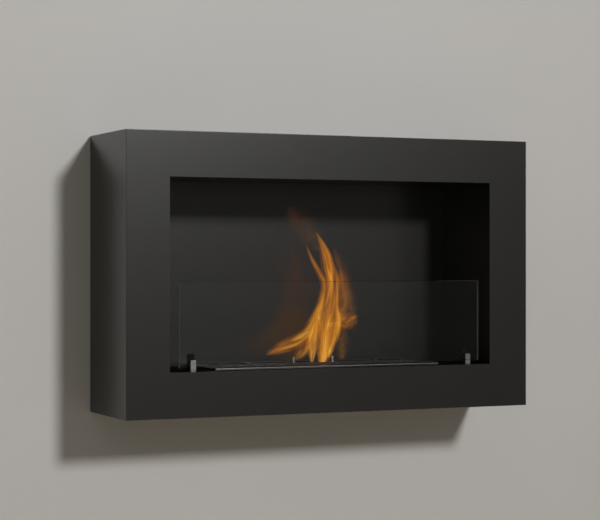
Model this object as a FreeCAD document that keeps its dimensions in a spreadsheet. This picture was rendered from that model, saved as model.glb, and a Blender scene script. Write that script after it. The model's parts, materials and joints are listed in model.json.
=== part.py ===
import FreeCAD, Part
import math
import os
from types import SimpleNamespace

import Sketcher

# A bio-ethanol fireplace that hangs flat on a wall: a folded black casing with one window, a sheet
# firebox behind it, a loose glass pane in two clips, and a lift-out burner with two sliding lids.
# Frame: the origin is the centre of the back, on the wall. X runs to the right, Y into the wall and
# Z up. A "depth" is a distance out from the wall, so a depth of d lies at Y = -d. Millimetres.

SIZES = {
    # casing
    "casing_width": 800,
    "casing_height": 500,
    "casing_depth": 200,  # from the wall to the front face
    "casing_sheet": 2,
    "casing_bend": 1,  # inside radius of the folds
    "casing_edge": 0.8,  # radius of the outer edges, ground after the corners are welded
    "frame_border": 80,  # width of the front face round the window
    "return_flange": 20,  # rear fold, measured in from the casing's side
    # rear panel and its screws
    "panel_sheet": 2,
    "panel_inset": 1,  # panel's edge, in from the casing's side
    "panel_screw_line": 11,  # screw centres, in from the casing's side
    "panel_screw_end_x": 100,  # outer screws of a long row, in from the casing's side
    "panel_screw_end_z": 120,  # outer screws of a short row, in from the casing's top or bottom
    "panel_screw_length": 9,
    "panel_screw_head": 7,
    "screw_diameter": 4,
    "screw_socket": 2.5,  # across the flats of the screws' hexagon sockets
    "screw_socket_depth": 1.2,
    "hole_play": 0.1,  # gap all round a screw, stud, rivet or pin in its hole
    # wall rail
    "rail_length": 480,
    "rail_sheet": 3,
    "rail_flange": 40,  # height of the face that is screwed to the wall
    "rail_lip": 12,  # height of the hook above its seat
    "rail_play": 2,  # between the hung panel and the hook
    "rail_seat": 120,  # height of the seat that the panel hangs on
    "rail_hole": 6.5,
    "rail_hole_end": 40,  # outer holes, in from the rail's end
    "rail_hole_span_inner": 160,
    "cutout_side_play": 5,
    "cutout_lift_play": 4,  # spare height in the cut-out when the panel is lifted off the hook
    # firebox
    "firebox_depth": 178,  # from the front face to the firebox's back sheet
    "firebox_sheet": 1.5,
    "firebox_flange": 16,
    "stud_end_x": 50,  # outer studs of a long flange, in from the window's side
    "stud_end_z": 60,  # studs of a short flange, in from the window's top or bottom
    "stud_diameter": 4,
    "stud_length": 12,
    "nut_across": 7,
    "nut_height": 3.2,
    "rivet_diameter": 4,
    "rivet_head": 8,
    "rivet_head_height": 1.2,
    # glass and its clips
    "glass_side_gap": 20,  # from the glass's side edge to the firebox wall
    "glass_height": 150,
    "glass_thickness": 5,
    "glass_arris": 0.8,  # ground-off edge
    "glass_setback": 10,  # from the front face to the middle of the glass
    "glass_foot": 7,  # glass's lower edge above the floor
    "glass_play": 0.3,
    "clip_inset": 25,  # clip's middle, in from the glass's side edge
    "clip_width": 10,
    "clip_sheet": 1.5,
    "clip_front_height": 20,
    "clip_rear_height": 14,
    "clip_screw": 3,  # diameter of the clip's screws and studs
    "clip_screw_head": 5.5,
    "clip_screw_head_height": 2,
    "clip_screw_rise": 8,  # back screw above the floor
    "clip_stud_length": 8,
    "clip_nut_across": 5.5,
    "clip_nut_height": 2.4,
    "backplate_width": 13,
    "backplate_height": 31,
    "backplate_sheet": 2,
    "liner_wall": 2,
    "liner_drop": 2,  # lining's top edge below the clip's front leg
    # burner
    "plate_overhang": 10,  # cover plate beyond the tank, all round
    "burner_height": 4,  # cover plate's top above the floor
    "burner_sheet": 1.5,
    "burner_gap": 4,  # from the cover plate to the firebox's back sheet
    "slot_length": 66,
    "slot_width": 40,
    "tank_length": 430,
    "tank_width": 128,
    "tank_height": 56,
    "tank_sheet": 1.2,
    "tank_corner": 6,
    "tank_play": 3,
    "wool_headroom": 10.5,  # from the fibre block up to the cover plate
    "wool_play": 0.3,
    # lids, guides and knobs
    "lid_length": 97,
    "lid_side_overlap": 7,  # lid's long edge beyond the slot
    "lid_sheet": 1.5,
    "lid_corner": 2,
    "lid_play": 0.3,
    "lid_overlap": 1,  # open lid's inner edge over the slot's end
    "guide_end_gap": 28,  # from the guide's end to the cover plate's end
    "guide_sheet": 1,
    "guide_foot": 8,
    "guide_cover": 4,  # how far a guide reaches over a lid's edge
    "guide_rivet_end": 27,  # outer rivets, in from the guide's end
    "guide_rivet_x_inner": 60,
    "guide_rivet_diameter": 3,
    "guide_rivet_head": 5.5,
    "guide_rivet_head_height": 1,
    "stop_pin_diameter": 3,
    "stop_pin_height": 4,
    "knob_inset": 8,  # knob's axis from the lid's inner edge
    "knob_diameter": 4,
    "knob_height": 11,
    "knob_shoulder": 7,
    "knob_shoulder_height": 1.2,
    "knob_stub": 3,  # threaded stub through the lid
    "knob_round": 1.2,
}

HEX_CORNER = 1 / math.sqrt(3)  # a hexagon's corner radius for each unit across its flats
NEAR = 1e-4
ROUND_EDGE_PLAY = 0.05  # how much larger a round edge's bounding box may be than the edge
OUTWARD = FreeCAD.Rotation(FreeCAD.Vector(1, 0, 0), 90)  # turns a solid's Z axis out from the wall


class Formula:
    """A length worked out from the sheet: its expression, and its value for a sketch's first guess."""

    def __init__(self, text, value):
        self.text = text
        self.value = value

    def __add__(self, other):
        other = formula(other)
        return Formula(f"({self.text} + {other.text})", self.value + other.value)

    def __sub__(self, other):
        other = formula(other)
        return Formula(f"({self.text} - {other.text})", self.value - other.value)

    def __mul__(self, factor):
        return Formula(f"({self.text} * {factor})", self.value * factor)

    def __truediv__(self, divisor):
        return Formula(f"({self.text} / {divisor})", self.value / divisor)

    def __neg__(self):
        return self * -1


def formula(length):
    """A plain number or a Formula, as a Formula."""
    return length if isinstance(length, Formula) else Formula(str(length), length)


def span(one, other):
    """Two lengths, the lower one first."""
    return tuple(sorted((formula(one), formula(other)), key=lambda length: length.value))


def about(middle, width):
    """The span of a width about its middle."""
    return formula(middle) - width / 2, formula(middle) + width / 2


doc = FreeCAD.newDocument("wall_fireplace")
sheet = doc.addObject("Spreadsheet::Sheet", "sizes")
for row, (alias, number) in enumerate(SIZES.items(), 1):
    sheet.set(f"A{row}", alias.replace("_", " "))
    sheet.set(f"B{row}", str(number))
    sheet.setAlias(f"B{row}", alias)
doc.recompute()
size = SimpleNamespace(**{alias: Formula(f"sizes.{alias}", number) for alias, number in SIZES.items()})

nodes = []


def finished(item, node):
    """Name a finished sub-part and put it on the list of those that are written out."""
    item.Label = node
    nodes.append(item)
    return item


def bind(item, prop, length):
    """Tie one property of an object to the sheet."""
    item.setExpression(prop, formula(length).text)


def place(item, x, depth, z):
    """Tie an object's place to the sheet, with its depth counted out from the wall."""
    bind(item, "Placement.Base.x", x)
    bind(item, "Placement.Base.y", -formula(depth))
    bind(item, "Placement.Base.z", z)


# Solids made from primitives

def block(name, x, depth, z):
    """A box between two lengths on each axis."""
    item = doc.addObject("Part::Box", name)
    for prop, (low, high) in zip(("Length", "Width", "Height"), (x, depth, z)):
        bind(item, prop, formula(high) - low)
    place(item, x[0], depth[1], z[0])
    return item


def stand(item, x, depth, z):
    """Stand a solid out from the wall between two depths, or upright between two heights."""
    upright = isinstance(z, tuple)
    low, high = z if upright else depth
    item.Placement = FreeCAD.Placement(FreeCAD.Vector(), FreeCAD.Rotation() if upright else OUTWARD)
    bind(item, "Height", formula(high) - low)
    place(item, x, depth if upright else low, low if upright else z)
    return item


def rod(name, x, depth, z, diameter):
    """A round bar."""
    item = doc.addObject("Part::Cylinder", name)
    bind(item, "Radius", diameter / 2)
    return stand(item, x, depth, z)


def cone(name, x, depth, z, first, last):
    """A round bar that tapers from its first diameter to its last."""
    item = doc.addObject("Part::Cone", name)
    bind(item, "Radius1", first / 2)
    bind(item, "Radius2", last / 2)
    return stand(item, x, depth, z)


def hexagon(name, x, depth, z, across):
    """A six-sided bar of a given width across its flats."""
    item = doc.addObject("Part::Prism", name)
    item.Polygon = 6
    bind(item, "Circumradius", across * HEX_CORNER)
    return stand(item, x, depth, z)


def fuse(name, members):
    item = doc.addObject("Part::MultiFuse", name)
    item.Shapes = members
    item.Refine = True
    return item


def group(name, members):
    item = doc.addObject("Part::Compound", name)
    item.Links = members
    return item


def cut(name, base, tools):
    item = doc.addObject("Part::Cut", name)
    item.Base = base
    item.Tool = group(name + "_tools", tools)
    return item


# Solids made from sketches

def new_sketch(body, name, role, offset):
    """A sketch on one of the body's own origin planes, moved along the plane's normal."""
    item = body.newObject("Sketcher::SketchObject", name)
    plane = next(feature for feature in body.Origin.OriginFeatures if feature.Role == role)
    item.AttachmentSupport = [(plane, "")]
    item.MapMode = "FlatFace"
    bind(item, "AttachmentOffset.Base.z", offset)
    return item


def hold_point(sketch, part, point, position):
    """Tie one point of a sketch to the sheet by its two distances from the sketch's origin."""
    for kind, length in zip(("DistanceX", "DistanceY"), position):
        index = sketch.addConstraint(Sketcher.Constraint(kind, -1, 1, part, point, formula(length).value))
        bind(sketch, f"Constraints[{index}]", length)


def add_outline(sketch, corners):
    """A closed outline of straight lines with every corner tied to the sheet."""
    points = [FreeCAD.Vector(formula(x).value, formula(y).value, 0) for x, y in corners]
    lines = [
        sketch.addGeometry(Part.LineSegment(point, points[(n + 1) % len(points)]), False)
        for n, point in enumerate(points)
    ]
    for n, line in enumerate(lines):
        following = lines[(n + 1) % len(lines)]
        sketch.addConstraint(Sketcher.Constraint("Coincident", line, 2, following, 1))
        hold_point(sketch, line, 1, corners[n])


def add_rectangle(sketch, x, y):
    add_outline(sketch, [(x[0], y[0]), (x[1], y[0]), (x[1], y[1]), (x[0], y[1])])


def add_circle(sketch, centre, diameter):
    x, y = (formula(length) for length in centre)
    radius = formula(diameter).value / 2
    axis = FreeCAD.Vector(0, 0, 1)
    ring = sketch.addGeometry(Part.Circle(FreeCAD.Vector(x.value, y.value, 0), axis, radius), False)
    hold_point(sketch, ring, 3, (x, y))
    index = sketch.addConstraint(Sketcher.Constraint("Diameter", ring, 2 * radius))
    bind(sketch, f"Constraints[{index}]", diameter)


def pad(body, sketch, length):
    item = body.newObject("PartDesign::Pad", sketch.Name + "_pad")
    item.Profile = sketch
    bind(item, "Length", length)
    doc.recompute()
    return item


def pocket(body, sketch, length, along_normal=False):
    """Cut a sketch into the body, against the sketch's normal unless told otherwise."""
    before = body.Shape.Volume
    item = body.newObject("PartDesign::Pocket", sketch.Name + "_pocket")
    item.Profile = sketch
    item.Reversed = along_normal
    bind(item, "Length", length)
    doc.recompute()
    if not body.Shape.Volume < before - NEAR:
        raise RuntimeError(f"{item.Name} cuts nothing")
    return item


def edge_names(shape, wanted):
    """Names of the edges whose bounding box passes a test."""
    return [f"Edge{n}" for n, edge in enumerate(shape.Edges, 1) if wanted(edge.BoundBox)]


def ease(body, kind, base, edges, length):
    """Round (Fillet) or bevel (Chamfer) some edges of a feature."""
    item = body.newObject("PartDesign::" + kind, f"{base.Name}_{kind.lower()}")
    item.Base = (base, edges)
    bind(item, "Radius" if kind == "Fillet" else "Size", length)
    doc.recompute()
    return item


def new_body(node):
    return finished(doc.addObject("PartDesign::Body", node), node)


# Places that several pieces share

half_width = size.casing_width / 2
half_height = size.casing_height / 2
window_x = half_width - size.frame_border
window_z = half_height - size.frame_border
floor_z = -window_z
front_sheet_back = size.casing_depth - size.casing_sheet
fire_back = size.casing_depth - size.firebox_depth
screw_hole = size.screw_diameter + size.hole_play * 2
glass_middle = size.casing_depth - size.glass_setback
glass_edge = window_x - size.glass_side_gap
clip_x = glass_edge - size.clip_inset
clip_hole = size.clip_screw + size.hole_play * 2
burner_length = size.tank_length + size.plate_overhang * 2
burner_width = size.tank_width + size.plate_overhang * 2
burner_middle = fire_back + size.burner_gap + burner_width / 2
plate_top = floor_z + size.burner_height
plate_under = plate_top - size.burner_sheet
lid_low = plate_top + size.lid_play
lid_top = lid_low + size.lid_sheet
lid_inner = size.slot_length / 2 - size.lid_overlap
lid_width = size.slot_width + size.lid_side_overlap * 2
guide_riser = lid_width / 2 + size.lid_play
guide_length = burner_length - size.guide_end_gap * 2

panel_screw_row_x = half_width - size.panel_screw_line
panel_screw_row_z = half_height - size.panel_screw_line
panel_screw_x = half_width - size.panel_screw_end_x
panel_screw_z = half_height - size.panel_screw_end_z
panel_screw_places = [
    (x, z) for x in (-panel_screw_x, formula(0), panel_screw_x)
    for z in (-panel_screw_row_z, panel_screw_row_z)
] + [
    (x, z) for x in (-panel_screw_row_x, panel_screw_row_x)
    for z in (-panel_screw_z, panel_screw_z)
]

flange_line = size.firebox_sheet + size.firebox_flange / 2
stud_x = window_x - size.stud_end_x
stud_z = window_z - size.stud_end_z
flange_places = {
    "ceiling": [(x, window_z + flange_line) for x in (-stud_x, formula(0), stud_x)],
    "floor": [(x, floor_z - flange_line) for x in (-stud_x, formula(0), stud_x)],
    "left": [(-window_x - flange_line, z) for z in (-stud_z, stud_z)],
    "right": [(window_x + flange_line, z) for z in (-stud_z, stud_z)],
}
all_flange_places = [spot for spots in flange_places.values() for spot in spots]


# Front casing: one folded sheet with the window cut in its face and a return flange at the back

def make_front_casing():
    body = new_body("front_casing")
    outline = new_sketch(body, "casing_outline", "XZ_Plane", size.panel_sheet)
    add_rectangle(outline, (-half_width, half_width), (-half_height, half_height))
    solid = pad(body, outline, size.casing_depth - size.panel_sheet)
    rear = -size.panel_sheet.value
    front_edges = edge_names(solid.Shape, lambda box: box.YMin < rear - NEAR)
    ease(body, "Fillet", solid, front_edges, size.casing_edge)
    inside_x = half_width - size.casing_sheet
    inside_z = half_height - size.casing_sheet
    inside = new_sketch(body, "casing_inside", "XZ_Plane", size.panel_sheet)
    add_rectangle(inside, (-inside_x, inside_x), (-inside_z, inside_z))
    tray = pocket(body, inside, front_sheet_back - size.panel_sheet, along_normal=True)
    reach = FreeCAD.BoundBox(
        -inside_x.value, -front_sheet_back.value, -inside_z.value, inside_x.value, 0, inside_z.value
    )
    reach.enlarge(NEAR)
    inner_edges = edge_names(tray.Shape, lambda box: reach.isInside(box) and box.YMin < rear - NEAR)
    ease(body, "Fillet", tray, inner_edges, size.casing_bend)
    flange_x = half_width - size.return_flange
    flange_z = half_height - size.return_flange
    flange = new_sketch(body, "casing_flange", "XZ_Plane", size.panel_sheet)
    add_rectangle(flange, (-inside_x, inside_x), (-inside_z, inside_z))
    add_rectangle(flange, (-flange_x, flange_x), (-flange_z, flange_z))
    folded = pad(body, flange, size.casing_sheet)
    rear_edges = edge_names(folded.Shape, lambda box: box.YMin > rear - NEAR and not reach.isInside(box))
    ease(body, "Fillet", folded, rear_edges, size.casing_edge)
    window = new_sketch(body, "casing_window", "XZ_Plane", size.casing_depth)
    add_rectangle(window, (-window_x, window_x), (-window_z, window_z))
    pocket(body, window, size.casing_sheet)
    holes = new_sketch(body, "casing_screw_holes", "XZ_Plane", size.panel_sheet)
    for spot in panel_screw_places:
        add_circle(holes, spot, screw_hole)
    pocket(body, holes, size.casing_sheet, along_normal=True)


# Rear panel: flat sheet on the return flange, with countersunk holes and the rail's cut-out

def make_rear_panel():
    body = new_body("rear_panel")
    outline = new_sketch(body, "panel_outline", "XZ_Plane", 0)
    edge_x = half_width - size.panel_inset
    edge_z = half_height - size.panel_inset
    add_rectangle(outline, (-edge_x, edge_x), (-edge_z, edge_z))
    cutout_x = size.rail_length / 2 + size.cutout_side_play
    cutout_low = size.rail_seat - size.rail_flange - size.rail_lip - size.cutout_lift_play
    add_rectangle(outline, (-cutout_x, cutout_x), (cutout_low, size.rail_seat))
    for spot in panel_screw_places:
        add_circle(outline, spot, screw_hole)
    plate = pad(body, outline, size.panel_sheet)
    rims = edge_names(
        plate.Shape,
        lambda box: box.YMin > -NEAR and abs(box.XLength - screw_hole.value) < ROUND_EDGE_PLAY,
    )
    ease(body, "Chamfer", plate, rims, (size.panel_screw_head - size.screw_diameter) / 2)


def make_rear_panel_screws():
    screws = []
    head_height = (size.panel_screw_head - size.screw_diameter) / 2
    for n, (x, z) in enumerate(panel_screw_places, 1):
        name = f"panel_screw_{n}"
        head = cone(name + "_head", x, (0, head_height), z, size.panel_screw_head, size.screw_diameter)
        shank = rod(name + "_shank", x, (head_height, size.panel_screw_length), z, size.screw_diameter)
        socket = hexagon(name + "_socket", x, (0, size.screw_socket_depth), z, size.screw_socket)
        screws.append(cut(name, fuse(name + "_blank", [head, shank]), [socket]))
    finished(group("rear_panel_screws", screws), "rear_panel_screws")


# Wall rail: bent strip with a hook; the upper edge of the panel's cut-out hangs behind the hook

def make_wall_rail():
    body = new_body("wall_rail")
    profile = new_sketch(body, "rail_profile", "YZ_Plane", -size.rail_length / 2)
    seat = size.rail_seat
    hook = -size.panel_sheet - size.rail_play
    add_outline(profile, [
        (0, seat - size.rail_flange),
        (0, seat),
        (hook, seat),
        (hook, seat + size.rail_lip),
        (hook - size.rail_sheet, seat + size.rail_lip),
        (hook - size.rail_sheet, seat - size.rail_sheet),
        (-size.rail_sheet, seat - size.rail_sheet),
        (-size.rail_sheet, seat - size.rail_flange),
    ])
    pad(body, profile, size.rail_length)
    holes = new_sketch(body, "rail_holes", "XZ_Plane", 0)
    hole_z = seat - size.rail_sheet / 2 - size.rail_flange / 2
    outer_x = size.rail_length / 2 - size.rail_hole_end
    inner_x = size.rail_hole_span_inner / 2
    for x in (-outer_x, -inner_x, inner_x, outer_x):
        add_circle(holes, (x, hole_z), size.rail_hole)
    pocket(body, holes, size.rail_sheet, along_normal=True)


# Firebox: four folded walls between the front sheet and the back sheet

front_flange = (front_sheet_back - size.firebox_sheet, front_sheet_back)
rear_flange = (fire_back, fire_back + size.firebox_sheet)


def make_firebox_wall(node, web_x, web_z, flange_x, flange_z, spots, more_cuts):
    """A sheet along the fire space with an outward flange on its front and rear edges."""
    blank = fuse(node + "_blank", [
        block(node + "_web", web_x, (fire_back, front_sheet_back), web_z),
        block(node + "_front", flange_x, front_flange, flange_z),
        block(node + "_rear", flange_x, rear_flange, flange_z),
    ])
    stud_hole = size.stud_diameter + size.hole_play * 2
    rivet_hole = size.rivet_diameter + size.hole_play * 2
    cuts = list(more_cuts)
    for n, (x, z) in enumerate(spots, 1):
        cuts.append(rod(f"{node}_stud_hole_{n}", x, front_flange, z, stud_hole))
        cuts.append(rod(f"{node}_rivet_hole_{n}", x, rear_flange, z, rivet_hole))
    finished(cut(node, blank, cuts), node)


def make_firebox_walls():
    web_x = window_x + size.firebox_sheet
    web_z = window_z + size.firebox_sheet
    across = (-web_x, web_x)
    upright = (floor_z, window_z)
    for node, sign in (("firebox_left_wall", -1), ("firebox_right_wall", 1)):
        web = span(window_x * sign, web_x * sign)
        flange = span(web_x * sign, (web_x + size.firebox_flange) * sign)
        spots = flange_places["left" if sign < 0 else "right"]
        make_firebox_wall(node, web, upright, flange, upright, spots, [])
    ceiling_web = (window_z, web_z)
    ceiling_flange = (web_z, web_z + size.firebox_flange)
    make_firebox_wall(
        "firebox_ceiling", across, ceiling_web, across, ceiling_flange, flange_places["ceiling"], []
    )
    floor_web = (-web_z, floor_z)
    floor_flange = (-web_z - size.firebox_flange, -web_z)
    burner_cutout = block(
        "floor_burner_cutout",
        about(0, size.tank_length + size.tank_play * 2),
        about(burner_middle, size.tank_width + size.tank_play * 2),
        floor_web,
    )
    clip_holes = [
        rod(f"floor_clip_hole_{n}", clip_x * sign, glass_middle, floor_web, clip_hole)
        for n, sign in enumerate((-1, 1), 1)
    ]
    make_firebox_wall(
        "firebox_floor", across, floor_web, across, floor_flange,
        flange_places["floor"], [burner_cutout] + clip_holes,
    )


def make_firebox_back():
    edge_x = window_x + size.firebox_sheet + size.firebox_flange
    edge_z = window_z + size.firebox_sheet + size.firebox_flange
    depth = (fire_back - size.firebox_sheet, fire_back)
    rivet_hole = size.rivet_diameter + size.hole_play * 2
    holes = [
        rod(f"back_rivet_hole_{n}", x, depth, z, rivet_hole)
        for n, (x, z) in enumerate(all_flange_places, 1)
    ]
    plate = block("firebox_back_plate", (-edge_x, edge_x), depth, (-edge_z, edge_z))
    finished(cut("firebox_back", plate, holes), "firebox_back")


def make_firebox_fasteners():
    """Weld studs and nuts at the front flanges, rivets at the rear flanges."""
    studs, nuts, rivets = [], [], []
    stud_depth = (front_sheet_back - size.stud_length, front_sheet_back)
    nut_depth = (front_flange[0] - size.nut_height, front_flange[0])
    nut_bore = size.stud_diameter + size.hole_play * 2
    shank = (fire_back - size.firebox_sheet, rear_flange[1])
    head = (shank[0] - size.rivet_head_height, shank[0])
    tail = (shank[1], shank[1] + size.rivet_head_height)
    for n, (x, z) in enumerate(all_flange_places, 1):
        studs.append(rod(f"stud_{n}", x, stud_depth, z, size.stud_diameter))
        nut = hexagon(f"nut_{n}_blank", x, nut_depth, z, size.nut_across)
        nuts.append(cut(f"nut_{n}", nut, [rod(f"nut_{n}_bore", x, nut_depth, z, nut_bore)]))
        rivets.append(fuse(f"rivet_{n}", [
            cone(f"rivet_{n}_head", x, head, z, size.rivet_diameter, size.rivet_head),
            rod(f"rivet_{n}_shank", x, shank, z, size.rivet_diameter),
            cone(f"rivet_{n}_tail", x, tail, z, size.rivet_head, size.rivet_diameter),
        ]))
    for node, members in (("firebox_studs", studs), ("firebox_nuts", nuts), ("firebox_rivets", rivets)):
        finished(group(node, members), node)


# Clips: a stainless U on the floor, lined with silicone, with a dark upright plate behind it

glass_half = size.glass_thickness / 2
lining_half = glass_half + size.glass_play + size.liner_wall
clip_half = lining_half + size.clip_sheet
glass_low = floor_z + size.glass_foot
clip_base_top = floor_z + size.clip_sheet


def make_clip(side, sign):
    """One clip with its plate and lining. Returns its stud, nut and back screw."""
    middle_x = clip_x * sign
    x = about(middle_x, size.clip_width)
    front_leg = (glass_middle + lining_half, glass_middle + clip_half)
    rear_leg = (glass_middle - clip_half, glass_middle - lining_half)
    back_depth = (rear_leg[0] - size.backplate_sheet, rear_leg[0])
    screw_z = floor_z + size.clip_screw_rise
    name = "clip_" + side
    blank = fuse(name + "_blank", [
        block(name + "_base", x, (rear_leg[0], front_leg[1]), (floor_z, clip_base_top)),
        block(name + "_front_leg", x, front_leg, (floor_z, floor_z + size.clip_front_height)),
        block(name + "_rear_leg", x, rear_leg, (floor_z, floor_z + size.clip_rear_height)),
    ])
    hole = rod(name + "_hole", middle_x, rear_leg, screw_z, clip_hole)
    finished(cut(name, blank, [hole]), name)

    name = "clip_backplate_" + side
    plate_x = about(middle_x, size.backplate_width)
    plate = block(name + "_plate", plate_x, back_depth, (floor_z, floor_z + size.backplate_height))
    hole = rod(name + "_hole", middle_x, back_depth, screw_z, clip_hole)
    finished(cut(name, plate, [hole]), name)

    name = "clip_liner_" + side
    gap_half = glass_half + size.glass_play
    front_wall = (glass_middle + gap_half, glass_middle + lining_half)
    rear_wall = (glass_middle - lining_half, glass_middle - gap_half)
    front_top = floor_z + size.clip_front_height - size.liner_drop
    rear_top = floor_z + size.clip_rear_height - size.liner_drop
    finished(fuse(name, [
        block(name + "_sole", x, (rear_wall[0], front_wall[1]), (clip_base_top, glass_low)),
        block(name + "_front", x, front_wall, (glass_low, front_top)),
        block(name + "_rear", x, rear_wall, (glass_low, rear_top)),
    ]), name)

    below_floor = (floor_z - size.clip_stud_length, floor_z)
    stud = rod(f"clip_stud_{side}", middle_x, glass_middle, below_floor, size.clip_screw)
    nut_top = floor_z - size.firebox_sheet
    nut_z = (nut_top - size.clip_nut_height, nut_top)
    nut = cut(
        f"clip_nut_{side}",
        hexagon(f"clip_nut_{side}_blank", middle_x, glass_middle, nut_z, size.clip_nut_across),
        [rod(f"clip_nut_{side}_bore", middle_x, glass_middle, nut_z, clip_hole)],
    )
    head_depth = (back_depth[0] - size.clip_screw_head_height, back_depth[0])
    name = "clip_back_screw_" + side
    screw = fuse(name, [
        rod(name + "_head", middle_x, head_depth, screw_z, size.clip_screw_head),
        rod(name + "_shank", middle_x, (back_depth[0], rear_leg[1]), screw_z, size.clip_screw),
    ])
    return stud, nut, screw


def make_clips():
    fasteners = [make_clip(side, sign) for side, sign in (("left", -1), ("right", 1))]
    for node, members in zip(("clip_studs", "clip_nuts", "clip_back_screws"), zip(*fasteners)):
        finished(group(node, list(members)), node)


# Glass: loose toughened pane with ground edges, standing on the clips' linings

def make_glass_pane():
    body = new_body("glass_pane")
    outline = new_sketch(body, "glass_outline", "XZ_Plane", glass_middle - glass_half)
    add_rectangle(outline, (-glass_edge, glass_edge), (glass_low, glass_low + size.glass_height))
    pane = pad(body, outline, size.glass_thickness)
    ease(body, "Chamfer", pane, edge_names(pane.Shape, lambda box: True), size.glass_arris)


# Burner: cover plate with turned-down lips on the floor, fuel tank below it, fibre block inside

rivet_line = guide_riser + size.guide_sheet + size.guide_foot / 2
rivet_inner = size.guide_rivet_x_inner
rivet_outer = guide_length / 2 - size.guide_rivet_end
guide_rivet_places = [
    (x, burner_middle + rivet_line * sign)
    for x in (-rivet_outer, -rivet_inner, rivet_inner, rivet_outer)
    for sign in (-1, 1)
]
stop_pin_x = lid_inner + size.lid_length + size.lid_play + size.stop_pin_diameter / 2


def make_burner_top_plate():
    body = new_body("burner_top_plate")
    outline = new_sketch(body, "plate_outline", "XY_Plane", floor_z)
    add_rectangle(outline, about(0, burner_length), about(-burner_middle, burner_width))
    solid = pad(body, outline, size.burner_height)
    above = floor_z.value + NEAR
    ease(body, "Fillet", solid, edge_names(solid.Shape, lambda box: box.ZMax > above), size.burner_sheet)
    inside = new_sketch(body, "plate_inside", "XY_Plane", floor_z)
    add_rectangle(
        inside,
        about(0, burner_length - size.burner_sheet * 2),
        about(-burner_middle, burner_width - size.burner_sheet * 2),
    )
    pocket(body, inside, size.burner_height - size.burner_sheet, along_normal=True)
    slot = new_sketch(body, "plate_slot", "XY_Plane", plate_top)
    add_rectangle(slot, about(0, size.slot_length), about(-burner_middle, size.slot_width))
    for x, depth in guide_rivet_places:
        add_circle(slot, (x, -depth), size.guide_rivet_diameter + size.hole_play * 2)
    for x in (-stop_pin_x, stop_pin_x):
        add_circle(slot, (x, -burner_middle), size.stop_pin_diameter + size.hole_play * 2)
    pocket(body, slot, size.burner_sheet)


def pressed_block(name, length, width, z, radius):
    """A block over the burner's middle with a flat top and rounded upright and lower edges."""
    body = doc.addObject("PartDesign::Body", name)
    outline = new_sketch(body, name + "_outline", "XY_Plane", z[0])
    add_rectangle(outline, about(0, length), about(-burner_middle, width))
    solid = pad(body, outline, z[1] - z[0])
    top = z[1].value - NEAR
    ease(body, "Fillet", solid, edge_names(solid.Shape, lambda box: box.ZMin < top), radius)
    return body


tank_low = plate_under - size.tank_height
tank_space_low = tank_low + size.tank_sheet
tank_space_length = size.tank_length - size.tank_sheet * 2
tank_space_width = size.tank_width - size.tank_sheet * 2
tank_space_corner = size.tank_corner - size.tank_sheet


def make_burner_tank():
    outside = pressed_block(
        "tank_outside", size.tank_length, size.tank_width, (tank_low, plate_under), size.tank_corner
    )
    space = pressed_block(
        "tank_space", tank_space_length, tank_space_width, (tank_space_low, plate_under), tank_space_corner
    )
    finished(cut("burner_tank", outside, [space]), "burner_tank")


def make_burner_wool():
    low = tank_space_low + size.wool_play
    block_of_wool = pressed_block(
        "burner_wool",
        tank_space_length - size.wool_play * 2,
        tank_space_width - size.wool_play * 2,
        (low, plate_under - size.wool_headroom),
        tank_space_corner,
    )
    finished(block_of_wool, "burner_wool")


def make_lid_guide(node, sign):
    """A folded strip: a foot on the plate, a riser beside the lids and a cover over their edges."""
    x = about(0, guide_length)
    riser = (guide_riser, guide_riser + size.guide_sheet)
    cover_low = lid_top + size.lid_play
    cover_top = cover_low + size.guide_sheet

    def at(low, high):
        return span(burner_middle + low * sign, burner_middle + high * sign)

    foot_depth = at(riser[1], riser[1] + size.guide_foot)
    blank = fuse(node + "_blank", [
        block(node + "_foot", x, foot_depth, (plate_top, plate_top + size.guide_sheet)),
        block(node + "_riser", x, at(*riser), (plate_top, cover_top)),
        block(node + "_cover", x, at(guide_riser - size.guide_cover, riser[1]), (cover_low, cover_top)),
    ])
    hole = size.guide_rivet_diameter + size.hole_play * 2
    holes = [
        rod(f"{node}_hole_{n}", spot_x, depth, (plate_top, plate_top + size.guide_sheet), hole)
        for n, (spot_x, depth) in enumerate(guide_rivet_places, 1)
        if (depth.value - burner_middle.value) * sign > 0
    ]
    finished(cut(node, blank, holes), node)


def make_guide_fasteners():
    """Rivets through the guides' feet and the plate, and the pins where the open lids stop."""
    shank = (plate_under, plate_top + size.guide_sheet)
    tail = (shank[0] - size.guide_rivet_head_height, shank[0])
    head = (shank[1], shank[1] + size.guide_rivet_head_height)
    rivets = []
    for n, (x, depth) in enumerate(guide_rivet_places, 1):
        name = f"guide_rivet_{n}"
        rivets.append(fuse(name, [
            cone(name + "_tail", x, depth, tail, size.guide_rivet_diameter, size.guide_rivet_head),
            rod(name + "_shank", x, depth, shank, size.guide_rivet_diameter),
            cone(name + "_head", x, depth, head, size.guide_rivet_head, size.guide_rivet_diameter),
        ]))
    finished(group("guide_rivets", rivets), "guide_rivets")
    pin_z = (plate_under, plate_top + size.stop_pin_height)
    pins = [
        rod(f"stop_pin_{n}", stop_pin_x * sign, burner_middle, pin_z, size.stop_pin_diameter)
        for n, sign in enumerate((-1, 1), 1)
    ]
    finished(group("lid_stop_pins", pins), "lid_stop_pins")


# Lids: two plates that slide along the guides, each moved by an upright knob near its inner edge

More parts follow.
